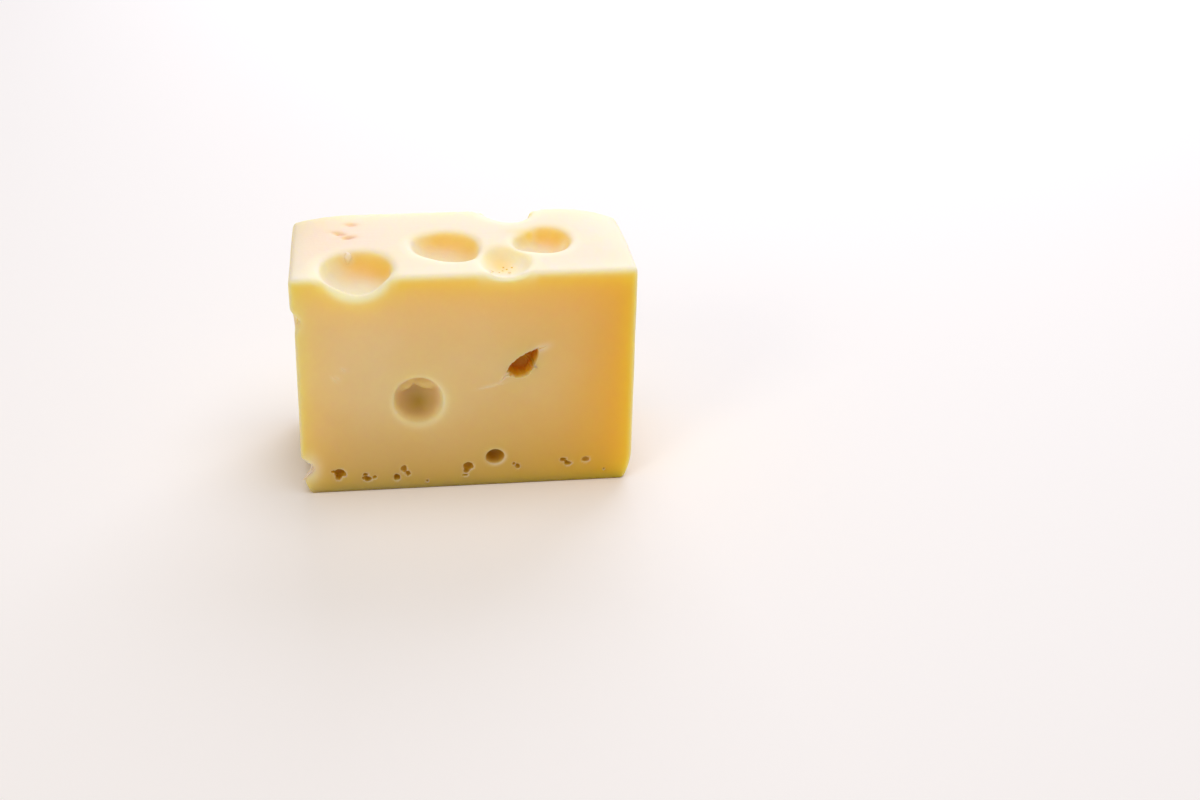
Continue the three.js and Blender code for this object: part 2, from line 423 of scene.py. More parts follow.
def left_step(point):
    """How far the left end steps in below the nick at a point."""
    below = (STEP_TOP - point.z) / STEP_SLOPE
    fade = 1 - (STEP_TOP - point.z) / STEP_RUN
    sideways = max(0.0, -point.x / (WIDTH / 2))
    return STEP_IN * min(max(below, 0.0), 1.0) * max(fade, 0.0) * sideways ** STEP_FALL


def corner_sag(point):
    """How far a far top corner has sunk at a point."""
    amount = FAR_LEFT_SAG if point.x < 0 else FAR_RIGHT_SAG
    sideways = max(0.0, 1 - (WIDTH / 2 - abs(point.x)) / SAG_REACH)
    backwards = max(0.0, 1 - (DEPTH / 2 - point.y) / DEPTH)
    upwards = max(0.0, 1 - (HEIGHT - point.z) / SAG_DEPTH)
    return amount * sideways ** 2 * backwards ** 2 * upwards


def fit_to_box(shape, low, high):
    """Stretch a shape by a hair so that it fills a box exactly."""
    now_low = Vector(min(vert.co[axis] for vert in shape.verts) for axis in range(3))
    now_high = Vector(max(vert.co[axis] for vert in shape.verts) for axis in range(3))
    for vert in shape.verts:
        for axis in range(3):
            share = (vert.co[axis] - now_low[axis]) / (now_high[axis] - now_low[axis])
            vert.co[axis] = low[axis] + share * (high[axis] - low[axis])


fit_to_box(shape, low, high)
shape.normal_update()
for vert in shape.verts:
    if vert.co.z > MM:
        wave = 0.5 + 0.5 * noise.noise(vert.co / WAVE_LENGTH)
        vert.co -= vert.normal * WAVE_HEIGHT * wave
    vert.co.x *= 1 - foot_draw(vert.co.z) / (WIDTH / 2)
    vert.co.x += left_step(vert.co)
    vert.co.z -= corner_sag(vert.co)
fit_to_box(shape, low, high)
shape.to_mesh(cheese.data)
shape.free()
bpy.context.view_layer.update()
print("shaped", [round(side / MM, 2) for side in cheese.dimensions], "mm")

# %% [markdown]
# ## Small eyes near the rind
# Near the rind the paste is drier, and the eyes stay small and ragged. Most are two or three bubbles that
# ran together. They are cut after the softening, so that their rims stay crisp. A ray from outside finds
# the surface first, so each cutter sits on the softened cheese and not on the ideal block.

# %% Sizes of the small eyes
# On the front: x, z, width, height and depth
FRONT_SMALL_EYES = [
    (10.4, 13.0, 7.6, 6.9, 5.0),
    (-50.4, 8.7, 4.4, 4.0, 3.0),
    (-50.8, 6.9, 2.6, 3.0, 2.2),
    (-52.6, 9.5, 2.4, 1.5, 1.2),
    (-48.6, 8.1, 2.0, 2.2, 1.0),
    (-40.4, 7.4, 2.4, 1.8, 1.4),
    (-39.4, 5.5, 3.0, 2.4, 2.0),
    (-41.0, 5.9, 1.8, 1.9, 0.9),
    (-36.8, 6.2, 1.7, 1.9, 1.1),
    (-28.2, 5.6, 2.7, 3.1, 2.2),
    (-25.4, 9.2, 2.7, 3.3, 1.2),
    (-23.8, 7.1, 2.2, 2.4, 1.6),
    (-16.4, 3.3, 1.2, 1.3, 0.9),
    (-0.3, 9.2, 4.1, 3.8, 2.6),
    (-1.0, 7.1, 2.4, 2.6, 1.9),
    (-1.5, 5.1, 2.8, 1.1, 1.1),
    (1.2, 8.7, 1.8, 2.2, 1.0),
    (17.8, 9.2, 1.4, 1.4, 1.3),
    (19.3, 8.0, 2.1, 2.5, 1.5),
    (37.4, 10.1, 2.7, 2.0, 1.9),
    (39.3, 8.3, 3.0, 2.0, 1.9),
    (38.4, 9.1, 1.6, 1.6, 1.3),
    (46.3, 9.7, 3.4, 2.6, 1.0),
    (53.7, 4.9, 1.0, 1.1, 0.8),
]
SMALL_EYE_DENTS = 0.3
SMALL_EYE_SEED = 40
ROUND_FROM = 2.2
RAY_START = 20 * MM

# The same kind of row runs round the other three sides: face, middle, length, count and phase
ROW_FACES = [
    ("back", 0.0, 112.0, 8, 0.4),
    ("left", 9.0, 36.0, 3, 2.1),
    ("right", 0.0, 46.0, 4, 4.3),
]
ROW_HEIGHT = 7.0
ROW_WANDER = 2.2
ROW_EYE_SIZE = 3.0
ROW_EYE_SPREAD = 1.1
ROW_EYE_DEPTH = 0.7

# How fast the place, the height and the size change from eye to eye of a row
ROW_RHYTHM = (2.4, 3.9, 1.7)

# The bubble that ran into each eye of a row: its shift and size as shares of that eye's size
TWIN_SHIFT = (0.4, -0.3)
TWIN_SIZE = (0.6, 0.5, 0.5)

# Small eyes that lie alone: face, place across and up it, and size
LONE_SMALL_EYES = [
    ("back", 2.0, 25.0, 7.5),
    ("right", 16.0, 66.0, 8.0),
    ("left", -12.0, 28.0, 6.5),
]

# A ragged pit in the nicked edge: x, z, width, height and depth
NICK_PITS = [(-62.4, 74.0, 2.0, 3.4, 1.1)]

# Pinholes in the shallow bowl on top: x, y and size
PINHOLES = [
    (10.6, -22.4, 1.4),
    (16.9, -22.9, 1.4),
    (13.2, -22.2, 1.0),
    (14.6, -20.6, 1.2),
    (18.3, -18.0, 0.9),
    (15.0, -17.6, 0.9),
    (16.2, -19.2, 1.0),
]

# The depth of round pits as a share of their size
ROUND_PIT_DEPTH = 0.6
print("small eyes on the front", len(FRONT_SMALL_EYES), "and pinholes", len(PINHOLES))

# %% Cut the small eyes
# The cutters so far, and the stand and radii of each pit that gets painted shade and a painted rim
# highlight
small_cutters = []
pits = []


def on_surface(face, place):
    """Stand a shape on the softened surface, which a ray from outside finds."""
    stand = on_face(face, place)
    outward = FACES[face][1]
    found, spot, *rest = cheese.ray_cast(stand.translation + outward * RAY_START, -outward)
    stand.translation = spot
    return stand


def cut_small_eye(face, place, width, height, depth, turn=0):
    """Add the cutter of a small eye, the smaller the more ragged, and give its stand and radii."""
    stand = turned(on_surface(face, place), turn)
    radii = Vector((width / 2, height / 2, depth)) * MM
    dents = SMALL_EYE_DENTS * min(1, ROUND_FROM / width)
    seed = SMALL_EYE_SEED + len(small_cutters)
    ball = stand_ball("small_eye_cutter", stand, radii, dents, seed, detail=SMALL_BALL_DETAIL)
    small_cutters.append(ball)
    return stand, radii


def cut_small_eye_row(face, middle, length, count, phase):
    """Cut the row along the foot of a face, spaced evenly and wandering up and down."""
    for i in range(count):
        sway, rise, swell = (rhythm * i + phase for rhythm in ROW_RHYTHM)
        u = middle + ((i + 0.5) / count - 0.5) * length + ROW_WANDER * math.sin(sway)
        v = ROW_HEIGHT + ROW_WANDER * math.cos(rise)
        size = ROW_EYE_SIZE + ROW_EYE_SPREAD * math.sin(swell)
        pits.append(cut_small_eye(face, (u, v), size, size, ROW_EYE_DEPTH * size))
        twin = (u + TWIN_SHIFT[0] * size, v + TWIN_SHIFT[1] * size)
        pits.append(cut_small_eye(face, twin, *(share * size for share in TWIN_SIZE)))


for x, z, width, height, depth in FRONT_SMALL_EYES:
    pits.append(cut_small_eye("front", (x, z), width, height, depth))
for row in ROW_FACES:
    cut_small_eye_row(*row)
for face, u, v, size in LONE_SMALL_EYES:
    pits.append(cut_small_eye(face, (u, v), size, size, ROUND_PIT_DEPTH * size))
for x, z, width, height, depth in NICK_PITS:
    cut_small_eye("front", (x, z), width, height, depth)
for x, y, size in PINHOLES:
    cut_small_eye("top", (x, y), size, size, ROUND_PIT_DEPTH * size)
print("small eyes", len(small_cutters), "of which", len(pits), "get a tint")

# %% [markdown]
# ## The torn slit and other damage
# The slit is a crack that tore open: a few points give its outline, the opening is drawn inwards and
# narrowed, and noise roughens its walls. Thin wedges carry the crack on at both ends. A knife scratched the
# front and lifted a burr, a tooth hangs into one bowl, and a few strands still cross the torn foot.

# %% Sizes of the torn slit
# The outline as x and y from the slit's middle, and each slit's face, place and turn
TEAR_OUTLINE = [
    (-6.5, -3.1), (-5.1, 0.0), (-2.4, 2.4), (0.6, 4.5), (3.6, 5.8), (5.5, 6.7), (6.3, 5.1), (6.0, 2.7),
    (4.8, 0.0), (4.3, -1.4), (5.5, -1.9), (3.6, -2.3), (3.0, -4.1), (0.6, -6.0), (-2.4, -6.2), (-5.1, -5.3),
]
TEARS = [("front", (21.5, 53.5), 0), ("back", (0.0, 72.0), 50)]
TEAR_DEPTH = 7.0 * MM
TEAR_INNER_SCALE = 0.8
TEAR_ROUGHNESS = 0.55 * MM
TEAR_ROUGH_SIZE = 0.8 * MM
TEAR_CUTS = 3
TEAR_TINT_RADII = Vector((8.0 * MM, 7.0 * MM, 0.6 * TEAR_DEPTH))
CUT_CLEARANCE = 1.0 * MM

# The noise that moves points starts from the clock unless it is given a seed
TEAR_SEED = 4

# Cracks that run on from the two ends of the slit: start, end, width at the start and depth
CRACKS = [
    ((-4.8, -4.0), (-8.0, -5.6), 1.4, 1.2),
    ((-7.0, -4.8), (-9.4, -8.4), 1.1, 0.7),
    ((4.4, 5.4), (11.2, 8.2), 2.6, 0.8),
]
CRACK_CLEARANCE = 0.4 * MM

# Shares of a crack's length: where it is deepest, and the middle of its pale edges
CRACK_DEEPEST = 0.2
CRACK_TINT_MIDDLE = 0.4

# The reach of those edges: a share of the length, a share of the width, and a depth
CRACK_TINT_REACH = (0.45, 0.6, 1.2)
print("torn slits", len(TEARS), "with", len(CRACKS), "cracks each")

# %% Cut the torn slit
# The stand and reach of each slit and of the pale edges of each crack
slits = []
crack_edges = []


def grow_inwards(shape, mouth, depth, scale):
    """Extrude a mouth face inwards to a depth and narrow its end."""
    inner = bmesh.ops.extrude_face_region(shape, geom=[mouth])["geom"]
    inner_verts = [item for item in inner if isinstance(item, bmesh.types.BMVert)]
    bmesh.ops.translate(shape, vec=(0, 0, -depth - CUT_CLEARANCE), verts=inner_verts)
    bmesh.ops.scale(shape, vec=(scale, scale, 1), verts=inner_verts)
    bmesh.ops.recalc_face_normals(shape, faces=shape.faces)


def cut_tear(stand):
    """Add the cutter of a torn slit and note the slit."""
    slit = bmesh.new()
    rim = [slit.verts.new((x * MM, y * MM, CUT_CLEARANCE)) for x, y in TEAR_OUTLINE]
    grow_inwards(slit, slit.faces.new(reversed(rim)), TEAR_DEPTH, TEAR_INNER_SCALE)
    bmesh.ops.triangulate(slit, faces=slit.faces)
    bmesh.ops.subdivide_edges(slit, edges=slit.edges, cuts=TEAR_CUTS, use_grid_fill=True)
    noise.seed_set(TEAR_SEED)
    for vert in slit.verts:
        vert.co += TEAR_ROUGHNESS * noise.noise_vector(vert.co / TEAR_ROUGH_SIZE)
    bmesh.ops.transform(slit, matrix=stand, verts=slit.verts)
    small_cutters.append(new_piece("tear_cutter", slit))
    slits.append((stand, TEAR_TINT_RADII))


def cut_crack(stand, start, end, width, depth):
    """Add the cutter of a thin crack: a groove with sloping sides that runs out to a point."""
    start = Vector(start) * MM
    end = Vector(end) * MM
    along = end - start
    side = along.orthogonal().normalized() * width * MM / 2
    groove = bmesh.new()
    for corner in (start + side, end, start - side):
        groove.verts.new((*corner, CRACK_CLEARANCE))
    groove.verts.new((*start.lerp(end, CRACK_DEEPEST), -depth * MM))
    bmesh.ops.convex_hull(groove, input=groove.verts)
    bmesh.ops.transform(groove, matrix=stand, verts=groove.verts)
    small_cutters.append(new_piece("crack_cutter", groove))
    middle = Matrix.Translation((*(start + CRACK_TINT_MIDDLE * along), 0))
    turn = Matrix.Rotation(math.atan2(along.y, along.x), 4, "Z")
    length_share, width_share, reach = CRACK_TINT_REACH
    radii = (length_share * along.length / MM, width_share * width, reach)
    crack_edges.append((stand @ middle @ turn, radii))


for face, place, turn in TEARS:
    stand = turned(on_surface(face, place), turn)
    cut_tear(stand)
    for line in CRACKS:
        cut_crack(stand, *line)
print("cut", len(slits), "slits and", len(crack_edges), "cracks")

# %% Scratches, a burr and torn strands
# Scratches on the front: place, length, width, depth and turn
SCRATCHES = [
    ((-50.3, 50.2), 3.4, 0.5, 0.3, -52),
    ((-48.9, 50.5), 2.6, 0.5, 0.25, -52),
    ((-46.6, 54.2), 2.4, 0.5, 0.25, -40),
    ((9.2, 44.7), 10.0, 0.5, 0.25, 13),
]

# How far the pale edges of a scratch reach across it and into the paste
SCRATCH_TINT_REACH = (0.7, 1.0)
scratch_edges = []

# A burr that the knife lifted at a bowl's rim: place, length, width, thickness and turn
BURRS = [((9.6, -27.0), 1.6, 1.2, 0.5, 0)]
BURR_SEED = 90

# Torn strands across the foot, and a tooth at the back of a bowl: start, end and thickness
STRANDS = [
    ((-64.4, -30.3, 6.2), (-59.0, -29.8, 12.0), 0.6),
    ((-63.0, -29.2, 8.2), (-58.4, -29.4, 12.2), 0.45),
    ((-61.6, -30.2, 10.2), (-59.4, -30.2, 15.8), 0.35),
    ((-43.4, -5.6, 91.2), (-43.2, -8.4, 88.0), 1.4),
]
STRAND_SEED = 80
thin_bits = []


def strand(number, start, end, thickness):
    """A thin torn strand between two points, which is noted as a thin bit."""
    start = Vector(start) * MM
    end = Vector(end) * MM
    radii = ((end - start).length / 2, thickness * MM, thickness * MM)
    turn = (end - start).to_track_quat("X", "Z").to_matrix().to_4x4()
    stand = Matrix.Translation((start + end) / 2) @ turn
    thin_bits.append((stand, 2 * Vector(radii) / MM))
    seed = STRAND_SEED + number
    return stand_ball("strand", stand, radii, SMALL_EYE_DENTS, seed, detail=SMALL_BALL_DETAIL)


def burr(number, place, length, width, thickness, turn):
    """A small lifted burr on the top."""
    radii = Vector((length / 2, width / 2, thickness)) * MM
    stand = turned(on_surface("top", place), turn)
    seed = BURR_SEED + number
    return stand_ball("burr", stand, radii, SMALL_EYE_DENTS, seed, detail=SMALL_BALL_DETAIL)


for place, length, width, depth, turn in SCRATCHES:
    stand, *rest = cut_small_eye("front", place, length, width, depth, turn)
    scratch_edges.append((stand, (length / 2, *SCRATCH_TINT_REACH)))
raised = [burr(number, *item) for number, item in enumerate(BURRS)]
raised += [strand(number, *item) for number, item in enumerate(STRANDS)]
print("small cutters", len(small_cutters), "and raised bits", len(raised))
carve(cheese, raised, "UNION")
carve(cheese, small_cutters)

# %% [markdown]
# ## Smooth shading with crisp rims
# Smooth shading hides the small squares. Only edges that turn by more than 35 degrees, such as the rims of
# the small eyes and of the slit, are marked sharp.

# %% Shade
SHARP_ANGLE = math.radians(35)
cheese.data.shade_smooth()
cheese.data.set_sharp_from_angle(angle=SHARP_ANGLE)
cheese.data.calc_loop_triangles()
print("carved", len(cheese.data.vertices), "points,", len(cheese.data.loop_triangles), "triangles")

# %% [markdown]
# ## Where the surface is deep, torn, lit or near an edge
# Light and shade are painted into the colour by place: painted shade in the eyes, pits and slit and towards
# the foot, a painted gold glow near the outer edges and the right end, painted light on the top and on bowl
# walls, and painted highlights on rims, lips and edges. The skin of an eye is also smoother. All of that
# depends on place, so it is measured for every point and kept as attributes that the material reads.

# %% Measure eyes and pits
FACING_EASE = 3.0 * MM
MARGIN_EASE = 0.2
# The painted highlight round the rims of side eyes: its width, its inset from the rim and how deep it
# reaches
RIM_WIDTH = 2.4 * MM
RIM_INSET = 1.8 * MM
RIM_DROP = 5.0 * MM
# The painted shade in a side eye is darkest a little below its middle: how far below, how flat it stays and
# how fast it falls
MIDDLE_DROP = 4.2 * MM
MIDDLE_FLAT = 1.2
MIDDLE_FALL = 1.8
PIT_START = 0.3 * MM
PIT_FULL_TINT = 0.55
PIT_RIM_SPREAD = 0.35

# The light on a rim: its middle strength, and how much stronger it is at the lower right
LIT_MIDDLE = 0.72
LIT_SWING = 0.28


def in_stand(points, stand):
    """Points in the axes of something that stands on a face."""
    inverse = numpy.array(stand.inverted())
    return points @ inverse[:3, :3].T + inverse[:3, 3]


def lower_right(local):
    """How far points lie round to the lower right of an eye, where the light falls on its rim."""
    away = numpy.hypot(local[:, 0], local[:, 1]) + MM / 10
    return numpy.clip(LIT_MIDDLE + LIT_SWING * (local[:, 0] - local[:, 1]) / away, 0, 1)


def measure_eyes(points, normals, eyes):
    """How deep each point lies in a large eye, and how much painted shade near its middle and painted
    highlight on its rim it gets, from 0 to 1.
    """
    depths, middles, rims = numpy.zeros((3, len(points)))
    for face, place, size, depth, *rest in eyes:
        stand = on_face(face, place)
        local = in_stand(points, stand)
        radii = numpy.array([size[0] / 2, size[1] / 2, depth]) * MM
        away = numpy.hypot(local[:, 0] / radii[0], local[:, 1] / radii[1])
        facing = ((numpy.array(stand.translation) - points) * normals).sum(axis=1) / FACING_EASE
        reach = (EYE_MARGIN - numpy.linalg.norm(local / radii, axis=1)) / MARGIN_EASE
        inside = numpy.clip(facing, 0, 1) * numpy.clip(reach, 0, 1)
        depths = numpy.maximum(depths, inside * numpy.clip(-local[:, 2] / radii[2], 0, 1))
        # Painted shade, darkest a little below the middle of the eye
        lower = numpy.hypot(local[:, 0] / radii[0], (local[:, 1] + MIDDLE_DROP) / radii[1])
        middle = numpy.clip(1 - lower ** MIDDLE_FLAT, 0, 1) ** MIDDLE_FALL
        middles = numpy.maximum(middles, inside * middle)
        # Painted highlight on the rim, strongest at its lower right
        lit = lower_right(local)
        ring = numpy.exp(-(((away - 1) * radii[0] / lit + RIM_INSET) / RIM_WIDTH) ** 2)
        shallow = numpy.exp(-(local[:, 2] / RIM_DROP) ** 2)
        rims = numpy.maximum(rims, ring * shallow * lit)
    return depths, middles, rims


def measure_pits(points, pits):
    """How deep each point lies in a small eye or a slit, and how much painted highlight its rim gets, from
    0 to 1.
    """
    depths = numpy.zeros(len(points))
    rims = numpy.zeros(len(points))
    for stand, radii in pits:
        local = in_stand(points, stand)
        beside = numpy.hypot(local[:, 0] / radii[0], local[:, 1] / radii[1])
        share = numpy.clip((-local[:, 2] - PIT_START) / (PIT_FULL_TINT * radii[2]), 0, 1)
        within = (beside < EYE_MARGIN) * (-local[:, 2] < 2 * radii[2])
        depths = numpy.maximum(depths, share * within)
        # Painted highlight on the rim, strongest at its lower right
        ring = numpy.exp(-((beside - 1) / PIT_RIM_SPREAD) ** 2) * (numpy.abs(local[:, 2]) < PIT_START)
        rims = numpy.maximum(rims, ring * lower_right(local))
    return depths, rims


def read_vectors(data, name):
    """One vector of every item of a mesh as rows of numbers."""
    values = numpy.empty(3 * len(data))
    data.foreach_get(name, values)
    return values.reshape(-1, 3)


points = read_vectors(cheese.data.vertices, "co")
normals = read_vectors(cheese.data.vertex_normals, "vector")
bowl_depth, *rest = measure_eyes(points, normals, bowls)
bowl_depth = numpy.sqrt(bowl_depth)
wall_depth, wall_middle_shade, wall_rim_highlight = measure_eyes(points, normals, side_eyes)
pit_depth, pit_rim_highlight = measure_pits(points, pits)
slit_depth, *rest = measure_pits(points, slits)
print("measured", len(points), "points against", len(LARGE_EYES), "eyes and", len(pits), "pits")

# %% Measure lips, edges and spots
LIP_REACH = 2.5 * MM
LIP_START = 1.05
LIP_SPREAD = 0.13
EDGE_REACH = 11 * MM
UPRIGHT_EASE = 0.7
LINE_REACH = 5 * MM


def front_lip(points, bowls):
    """How near each point is to the lip where a bowl breaks through the front, from 0 to 1."""
    nearness = numpy.zeros(len(points))
    at_front = numpy.exp(-((points[:, 1] + DEPTH / 2) / LIP_REACH) ** 2)
    for face, place, size, depth, *rest in bowls:
        radii = numpy.array([size[0] / 2, size[1] / 2, depth]) * MM
        spread = numpy.linalg.norm(in_stand(points, on_face(face, place)) / radii, axis=1)
        at_lip = numpy.exp(-((spread - LIP_START) / LIP_SPREAD) ** 2)
        nearness = numpy.maximum(nearness, at_front * at_lip)
    return nearness


def measure_spots(points, spots):
    """How near each point is to the middle of a spot, from 0 to 1."""
    nearness = numpy.zeros(len(points))
    for stand, radii in spots:
        away = in_stand(points, stand) / (numpy.array(radii) * MM)
        nearness = numpy.maximum(nearness, numpy.exp(-(away ** 2).sum(axis=1)))
    return nearness


def edge_nearness(points, normals):
    """How near each point of a side is to the edge of the top or of an end, from 0 to 1."""
    to_side = (DEPTH / 2 - numpy.abs(points[:, 1])) / EDGE_REACH
    to_top = (HEIGHT - points[:, 2]) / EDGE_REACH
    to_end = (WIDTH / 2 - numpy.abs(points[:, 0])) / EDGE_REACH + UPRIGHT_EASE
    second = numpy.sort(numpy.stack([to_side, to_top, to_end]), axis=0)[1]
    return numpy.exp(-second) * (1 - numpy.clip(normals[:, 2], 0, 1))


def edge_line(points, normals):
    """How far each point lies on the rounded line of an upright edge, from 0 to 1."""
    to_end = (WIDTH / 2 - numpy.abs(points[:, 0])) / LINE_REACH
    return 2 * numpy.abs(normals[:, 0] * normals[:, 1]) * numpy.clip(1 - to_end, 0, 1)


# Painted highlight on the lip where a bowl breaks through the front
bowl_lip_highlight = front_lip(points, bowls)
# Painted gold glow on the sides near the edges of the top and the ends, not in the bowls
painted_edge_glow = edge_nearness(points, normals) * (1 - bowl_depth)
# Painted highlight along the rounded upright edges
upright_edge_highlight = edge_line(points, normals)
in_swelling = measure_spots(points, swollen)
print("points on a lip", int((bowl_lip_highlight > 0.5).sum()), "and in a swelling", int((in_swelling > 0.5).sum()))

# %% Spots that are pale, golden or thin
# Each spot has its middle and its reach along x, y and z

# Where torn paste shows pale: the tooth in a bowl, and the nick and the tear at the near left edge
PALE_SPOTS = [
    ((-43.3, -7.2, 89.6), (2.0, 2.4, 2.6)),
    ((-65.0, -31.0, 74.4), (3.2, 7.0, 4.0)),
    ((-62.5, -31.0, 11.0), (4.4, 9.0, 6.0)),
    ((-62.5, -19.0, 5.0), (4.4, 10.0, 7.0)),
]

# Painted glow where light comes through thin paste: the far left of the right bowl, the shallow bowl and
# the nick
GOLD_SPOTS = [
    ((27.6, 8.0, 89.6), (8.0, 3.0, 3.0)),
    ((14.4, -16.5, 88.5), (6.0, 9.0, 5.0)),
    ((-63.0, -29.5, 73.6), (1.8, 3.0, 2.0)),
]

# Painted light on bowl walls: the left of the left bowl, both sides of the right one, and the right flank
# of the shallow one
LIT_WALL_SPOTS = [
    ((-49.0, -12.0, 86.4), (5.4, 6.0, 4.0)),
    ((24.2, 3.6, 86.6), (5.0, 3.6, 3.4)),
    ((40.0, 3.4, 87.0), (4.0, 3.0, 3.0)),
    ((24.4, -16.0, 89.6), (4.0, 7.0, 3.0)),
]

# The thin wedge of paste under the torn foot
THIN_FOOT = [((-61.5, -19.0, 1.0), (6.0, 9.0, 5.0))]

# The reach of a scuff's tint: a share of its length, a share of its width, and a depth
SCUFF_TINT_REACH = (0.6, 0.7, 2.5)


def spots_at(rows):
    """Stand each spot of a list at its middle."""
    return [(Matrix.Translation(Vector(middle) * MM), reach) for middle, reach in rows]


scuffs = []
for place, length, width, depth, turn in TOP_SCUFFS:
    length_share, width_share, reach = SCUFF_TINT_REACH
    stand = turned(on_face("top", place), turn)
    scuffs.append((stand, (length_share * length, width_share * width, reach)))
pale_spot = measure_spots(points, spots_at(PALE_SPOTS))
gold_spot = measure_spots(points, spots_at(GOLD_SPOTS))
lit_wall_spot = measure_spots(points, spots_at(LIT_WALL_SPOTS))
thin_bit = measure_spots(points, thin_bits + spots_at(THIN_FOOT))
print("spots", len(PALE_SPOTS + GOLD_SPOTS + LIT_WALL_SPOTS + THIN_FOOT), "and scuffs", len(scuffs))

# %% Weigh the measures and keep them
# How far painted light and shade reach: the gold glow in from the right end, the light down from the top,
# the highlight strip back from the near top edge, and the shade up from the foot
RIGHT_GLOW_REACH = 38 * MM
TOP_LIGHT_DROP = 15 * MM
STRIP_REACH = 8 * MM
FOOT_SHADE_HEIGHT = 54 * MM

# How strongly painted shade and glow turn a bowl's wall golden as it faces the front and the left
GOLD_FRONT = 1.4
GOLD_LEFT = 0.7
GOLD_SPOT_STRENGTH = 0.65

# How much of the painted glow the right end face itself loses
END_GLOW_LOSS = 0.55
# How strong the painted shade is on the walls of side eyes and on the swellings
WALL_STRENGTH = 0.34
SWELLING_STRENGTH = 0.6

# Powers that bend a measure: it rises early under 1 and late over 1
FOOT_SHADE_BEND = 1.5
EYE_BEND = 0.7
TOP_BEND = 0.7
BOWL_WALL_BEND = 0.8


def keep_attribute(mesh, name, values):
    """Store one number for every point of a mesh."""
    attribute = mesh.attributes.new(name, "FLOAT", "POINT")
    attribute.data.foreach_set("value", values)
    print(name, "from", round(float(values.min()), 2), "to", round(float(values.max()), 2))


facing_up = numpy.clip(normals[:, 2], 0, 1)
facing_right = numpy.clip(normals[:, 0], 0, 1)
to_front = points[:, 1] + DEPTH / 2
near_top = numpy.clip(1 - (HEIGHT - points[:, 2]) / TOP_LIGHT_DROP, 0, 1)
# Painted shade: the paste turns darker towards the foot
painted_foot_shade = numpy.clip(1 - points[:, 2] / FOOT_SHADE_HEIGHT, 0, 1)
# Painted gold glow in from the right end, weaker on the top and on the end face itself
painted_right_glow = numpy.exp(-(WIDTH / 2 - points[:, 0]) / RIGHT_GLOW_REACH)
painted_right_glow = painted_right_glow * (1 - facing_up) * (1 - END_GLOW_LOSS * facing_right)
# How far a wall faces the front and the left, where the bowls get painted shade and glow
gold_side = numpy.clip(-GOLD_FRONT * normals[:, 1] - GOLD_LEFT * normals[:, 0], 0, 1) * (1 - facing_up ** 3)
# Painted shade deeper in the side eyes and on the swellings under their rims
painted_eye_shade = numpy.maximum(WALL_STRENGTH * wall_depth ** EYE_BEND, SWELLING_STRENGTH * in_swelling)
# Painted shade and glow on bowl walls, and painted glow at the gold spots
painted_bowl_shade = numpy.maximum(bowl_depth ** BOWL_WALL_BEND * gold_side, GOLD_SPOT_STRENGTH * gold_spot)

# Each kind of paste that shows pale, and how pale: torn paste at spots, cracks and scratches, and painted
# light and highlights on lips, the near top edge, bowl walls, pit rims and upright edges
pale_kinds = [
    (pale_spot, 0.95),
    (bowl_lip_highlight, 0.95),
    (facing_up * numpy.exp(-(to_front / STRIP_REACH) ** 2) * near_top, 0.6),
    (lit_wall_spot, 0.6),
    (measure_spots(points, crack_edges), 0.55),
    (measure_spots(points, scratch_edges), 0.4),
    (pit_rim_highlight ** 2, 0.5),
    (upright_edge_highlight, 0.5),
]

# Each measure that the material reads, and how strong it is. Most are painted light or shade: shade
# towards the foot and in the eyes, pits and slit, a gold glow near the edges and at the right end, light
# on the top, the bowl walls and the slit's floor, and highlights on rims and lips.
measures = [
    ("painted_foot_shade", painted_foot_shade ** FOOT_SHADE_BEND, 1.0),
    ("painted_edge_glow", painted_edge_glow, 1.0),
    ("painted_right_glow", painted_right_glow, 0.95),
    ("painted_eye_shade", painted_eye_shade, 1.0),
    ("painted_rim_highlight", wall_rim_highlight, 0.95),
    ("eye_skin_and_shade", wall_middle_shade, 0.9),
    # Painted light on the top and on the lips where bowls break the front
    ("painted_top_light", numpy.maximum(facing_up ** TOP_BEND * numpy.sqrt(near_top), bowl_lip_highlight), 1.0),
    ("scuffed", measure_spots(points, scuffs), 0.55),
    # Painted light on bowl walls that do not face the front and the left
    ("painted_bowl_light", numpy.sqrt(bowl_depth) * (1 - gold_side), 0.9),
    ("painted_bowl_shade", painted_bowl_shade, 1.0),
    ("torn_pale_and_painted_light", numpy.max([strength * paste for paste, strength in pale_kinds], axis=0), 1.0),
    # Painted shade deeper in the small eyes and in the slits
    ("painted_pit_shade", pit_depth, 1.0),
    ("painted_slit_shade", slit_depth, 1.0),
    # Painted light on the upward-facing floor of the slit
    ("painted_slit_floor_light", slit_depth * facing_up, 0.7),
    ("thin_bit", thin_bit, 1.0),
]
for name, measure, strength in measures:
    keep_attribute(cheese.data, name, strength * measure)

# %% [markdown]
# ## Colours and nodes
# Colours are picked as screen values, which shaders don't use, so one function turns them into light. One
# small helper adds a node, sets it and links it.

# %% Helpers
def linear(code):
    """Turn an sRGB hex value into the linear colour that shaders use."""
    channels = [int(code[i:i + 2], 16) / 255 for i in (1, 3, 5)]
    return tuple(c / 12.92 if c <= 0.04045 else ((c + 0.055) / 1.055) ** 2.4 for c in channels) + (1.0,)


def add_node(tree, kind, settings=None, inputs=None, links=None):
    """Add a node, set its own settings and its input values, and link its inputs."""
    node = tree.nodes.new(kind)
    for name, value in (settings or {}).items():
        setattr(node, name, value)
    for name, value in (inputs or {}).items():
        node.inputs[name].default_value = value
    for name, socket in (links or {}).items():
        tree.links.new(socket, node.inputs[name])
    return node


